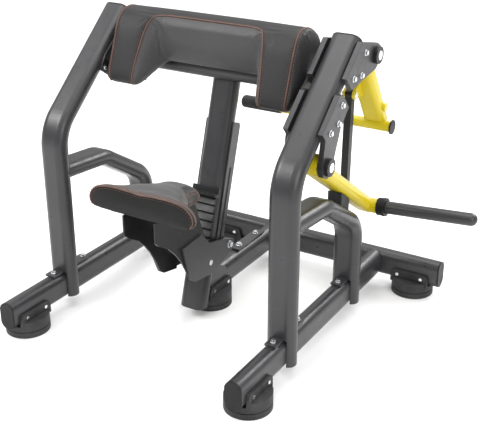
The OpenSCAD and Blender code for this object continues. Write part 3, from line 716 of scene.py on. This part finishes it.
SEAT = [(175, 228, 99, 6), (177, 229, 100, 2.5), (182, 229.5, 99.5, 0.5), (190, 227, 97, 0), (202, 219, 93, 0), (216, 206, 90, 0), (232, 187, 88, 0), (250, 163, 87, 0), (267, 145, 86, 0),
        (290, 126, 84, 0, 504), (319, 110, 80, 0, 499), (345, 103, 78, 0, 494), (368, 98, 75, 0, 490), (385, 95, 72, 0, 488), (400, 94, 69, 0, 487), (418, 93, 67, 0, 487), (434, 91, 64, 0, 486), (446, 86, 60, 0, 486), (456, 78, 53, 1, 485),
        (464, 66, 45, 2, 485), (470, 50, 34, 4, 487), (474, 34, 22, 5, 490)]
rings = [seat_ring(*s) for s in SEAT]
seat = loft("seat_cover", rings, M["leather_seat"], W(SX, 174.5, 552), W(SX, 475, 500))
seat = remesh(seat, 0.0045, 3)
face = [(SX + s * u * 222, 176, 506 + 4 + v * 92) for s, seq in ((1, HALF[:-1]), (-1, list(reversed(HALF))[:-1])) for u, v in seq]
D_TOP = [W(x, y, z) for x, y, z in face[4:-3]]
second = [W(x * 1.0, 200, z - 1) for x, y, z in face[4:-3]]
nose = {}
for s, tag in ((-1, "left"), (1, "right")):
    pts = []
    for k in range(16):
        g = 2 * math.pi * k / 16
        pts.append(W(s * (96 - 6 * math.sin(g)), 392 - 46 * math.cos(g), 526 + 32 * math.sin(g)))
    nose[tag] = pts
CREASE = [W(x, 216 + x * 0.38, 600) for x in range(-46, 55, 8)]
def seat_held(p):
    return (p.z - OZ) * 1000 < 509.5
puff(seat, [D_TOP, second] + [v + v[:1] for v in nose.values()], seat_held, 4.0, 0.006)
groove(seat, [D_TOP, second] + [v + v[:1] for v in nose.values()], 0.0055, 0.0018)
groove(seat, [CREASE], 0.0065, 0.009)
subdivided(seat)
# slot 1: near-black copy of the seat upholstery, painted shade on the rear face and underside
seat.data.materials.append(M["seat_rear_painted_shade"])
# slot 2: darker copy of the seat upholstery, painted shade on the side ovals
seat.data.materials.append(M["nose"])
me = seat.data
co = np.empty(len(me.polygons) * 3)
nr = np.empty(len(me.polygons) * 3)
me.polygons.foreach_get("center", co)
me.polygons.foreach_get("normal", nr)
co = co.reshape(-1, 3)
nr = nr.reshape(-1, 3)
X = (co[:, 0] - OX) * 1000
Y = (co[:, 1] - OY) * 1000
Z = (co[:, 2] - OZ) * 1000
idx = np.zeros(len(me.polygons), dtype=np.int32)
# painted shade: faces turned towards -Y at the rear, and the underside below z 509, take the near-black copy
idx[(Y < 183) & (nr[:, 1] < -0.45)] = 1
idx[Z < 509] = 1
# painted shade: on each side the oval, where it faces outward, takes the darker copy
for s in (-1, 1):
    a = (Y - 392) / 46
    b = (Z - 526) / 32
    idx[(s * X > 40) & (a * a + b * b < 1) & (s * nr[:, 0] > 0.1)] = 2
me.polygons.foreach_set("material_index", idx)
me.update()
tree = tree_of(seat)
extra = []
o, c = cord_on("seat_piping_rear", tree, D_TOP, 0.0031, False)
extra.append(o)
extra.append(stitches("seat_stitches_rear", tree, c, False, 0.009))
extra.append(stitches("seat_stitches_face", tree, c, False, -0.009))
o, c = cord_on("seat_piping_band", tree, second, 0.0026, False)
extra.append(o)
for tag, pts in nose.items():
    o, c = cord_on("seat_piping_nose_" + tag, tree, pts, 0.0026, True)
    extra.append(o)
    extra.append(stitches("seat_stitches_nose_" + tag, tree, c, True, 0.008))
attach(seat, "seat")
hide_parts("seat_cushion")
dress(extra, "seat")

# ------------------------------------------------------------------ camera, lights, floor
cam_data = bpy.data.cameras.new("camera")
cam = bpy.data.objects.new("camera", cam_data)
scene.collection.objects.link(cam)
cam_data.sensor_width = 36.0
cam_data.lens = 944.74 / 478 * 36.0
cam.location = W(1856.06, -2204.80, 1866.19)
az, el, roll = math.radians(31.17), math.radians(23.94), -0.001
fw = Vector((-math.sin(az) * math.cos(el), math.cos(az) * math.cos(el), -math.sin(el)))
rt = fw.cross(Vector((0, 0, 1))).normalized()
upv = rt.cross(fw).normalized()
rt2 = rt * math.cos(roll) + upv * math.sin(roll)
up2 = upv * math.cos(roll) - rt * math.sin(roll)
cam.matrix_world = Matrix(((rt2.x, up2.x, -fw.x, cam.location.x), (rt2.y, up2.y, -fw.y, cam.location.y), (rt2.z, up2.z, -fw.z, cam.location.z), (0, 0, 0, 1)))
cam_data.clip_end = 60
scene.camera = cam

world = bpy.data.worlds.new("studio")
world.use_nodes = True
wn = world.node_tree.nodes
wl = world.node_tree.links
wc = wn.new("ShaderNodeTexCoord")
wx = wn.new("ShaderNodeSeparateXYZ")
wr = wn.new("ShaderNodeValToRGB")
el_ = wr.color_ramp.elements
el_[0].position = 0.0
el_[0].color = (0.42, 0.42, 0.42, 1)
el_[1].position = 1.0
el_[1].color = (1.55, 1.55, 1.55, 1)
for p_, c_ in ((0.22, 0.46), (0.45, 1.05), (0.7, 1.4)):
    q_ = el_.new(p_)
    q_.color = (c_, c_, c_, 1)
wl.new(wc.outputs["Generated"], wx.inputs[0])
wl.new(wx.outputs["Z"], wr.inputs["Fac"])
wl.new(wr.outputs["Color"], wn["Background"].inputs[0])
wn["Background"].inputs[1].default_value = 1.0
scene.world = world
scene.view_settings.view_transform = "Standard"
scene.view_settings.look = "None"


def area(name, loc, target, size, power, size_y=None, color=(1, 1, 1)):
    d = bpy.data.lights.new(name, "AREA")
    d.shape = "RECTANGLE"
    d.size = size
    d.size_y = size_y or size
    d.energy = power
    d.color = color
    o = bpy.data.objects.new(name, d)
    scene.collection.objects.link(o)
    o.location = loc
    o.rotation_mode = "QUATERNION"
    o.rotation_quaternion = (Vector(target) - Vector(loc)).to_track_quat("-Z", "Y")
    return o


area("key", (-2.6, -2.6, 3.6), (0, 0, 0.5), 2.2, 120, 1.6)
area("fill", (3.4, -2.2, 2.2), (0, 0, 0.5), 2.0, 45, 2.0)
area("rim", (1.5, 3.4, 2.8), (0, 0, 0.6), 2.6, 90, 1.2)
area("top", (0, 0.2, 4.0), (0, 0, 0.4), 2.6, 60, 2.6)

floor = new_obj("floor", [(-30, -30, 0), (30, -30, 0), (30, 30, 0), (-30, 30, 0)], [(0, 1, 2, 3)], None, False)
floor.data.materials.clear()
fm = Mat("pale_floor")
fm.set(Roughness=0.9)
floor.data.materials.append(fm.out(fm.mix(fm.noise(3, 2), (0.86, 0.86, 0.86), (0.9, 0.9, 0.9))))
floor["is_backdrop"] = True
